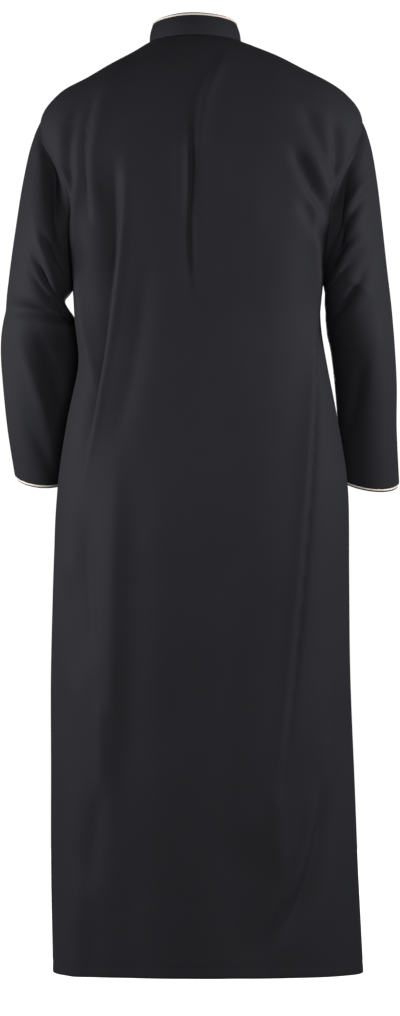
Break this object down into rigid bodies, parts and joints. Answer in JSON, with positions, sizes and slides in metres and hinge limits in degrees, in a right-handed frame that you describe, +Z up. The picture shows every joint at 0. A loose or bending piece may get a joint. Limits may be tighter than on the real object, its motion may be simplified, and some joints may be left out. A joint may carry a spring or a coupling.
{
  "type": "djellaba",
  "caption": "Long black djellaba in the hollow shape it has when worn: stand collar, neck slit with placket, set-in sleeves, and pale piping along collar and cuffs",
  "frame": {"origin": "midway between the two points where the shoulder seams meet the collar, the place at which the wearer's neck and shoulders carry the garment", "axes": "+Z up along the standing wearer, -Y towards what the wearer faces, +X towards the wearer's left"},
  "size_m": [0.6063, 0.3017, 1.4603],
  "materials": {
    "cloth": "black twill with a soft sheen",
    "piping": "champagne satin",
    "button": "matte black"
  },
  "bodies": {
    "root": {"back": "cloth", "front": "cloth", "sleeve_left": "cloth", "sleeve_right": "cloth", "cuff_facing_left": "cloth", "cuff_facing_right": "cloth", "collar_outer": "cloth", "collar_inner": "cloth", "placket_upper": "cloth", "placket_under": "cloth", "collar_piping": "piping", "cuff_piping_left": "piping", "cuff_piping_right": "piping", "button_1": "button", "button_2": "button", "button_3": "button", "button_4": "button"}
  },
  "joints": []
}
